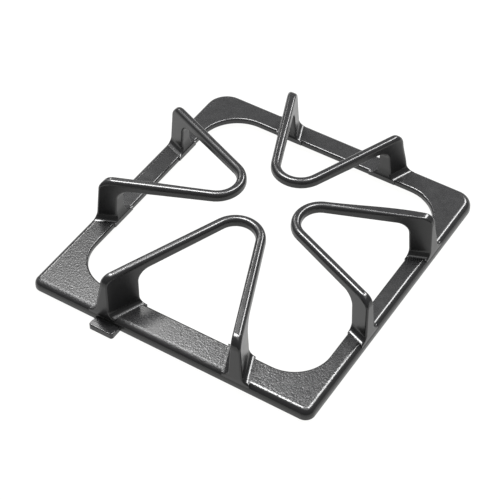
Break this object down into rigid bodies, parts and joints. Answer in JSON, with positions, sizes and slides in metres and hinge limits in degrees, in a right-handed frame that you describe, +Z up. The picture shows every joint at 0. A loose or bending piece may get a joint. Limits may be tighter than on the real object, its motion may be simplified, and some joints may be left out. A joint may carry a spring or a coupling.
{
  "type": "hob pan support",
  "caption": "Square cast iron pan support for a gas hob, with a flat ring and V-shaped fingers that rise on webs and point to the burner.",
  "frame": {"origin": "on the burner's axis, in the plane that the ring's underside rests on", "axes": "+Z up, +Y away from the side with the lug, +X to the right seen from the side with the lug"},
  "size_m": [0.2334, 0.2584, 0.0432],
  "materials": {
    "enamel": "black vitreous enamel, satin to semi-gloss, with a fine orange-peel grain"
  },
  "bodies": {
    "root": {"pan_support": "enamel"}
  },
  "joints": []
}
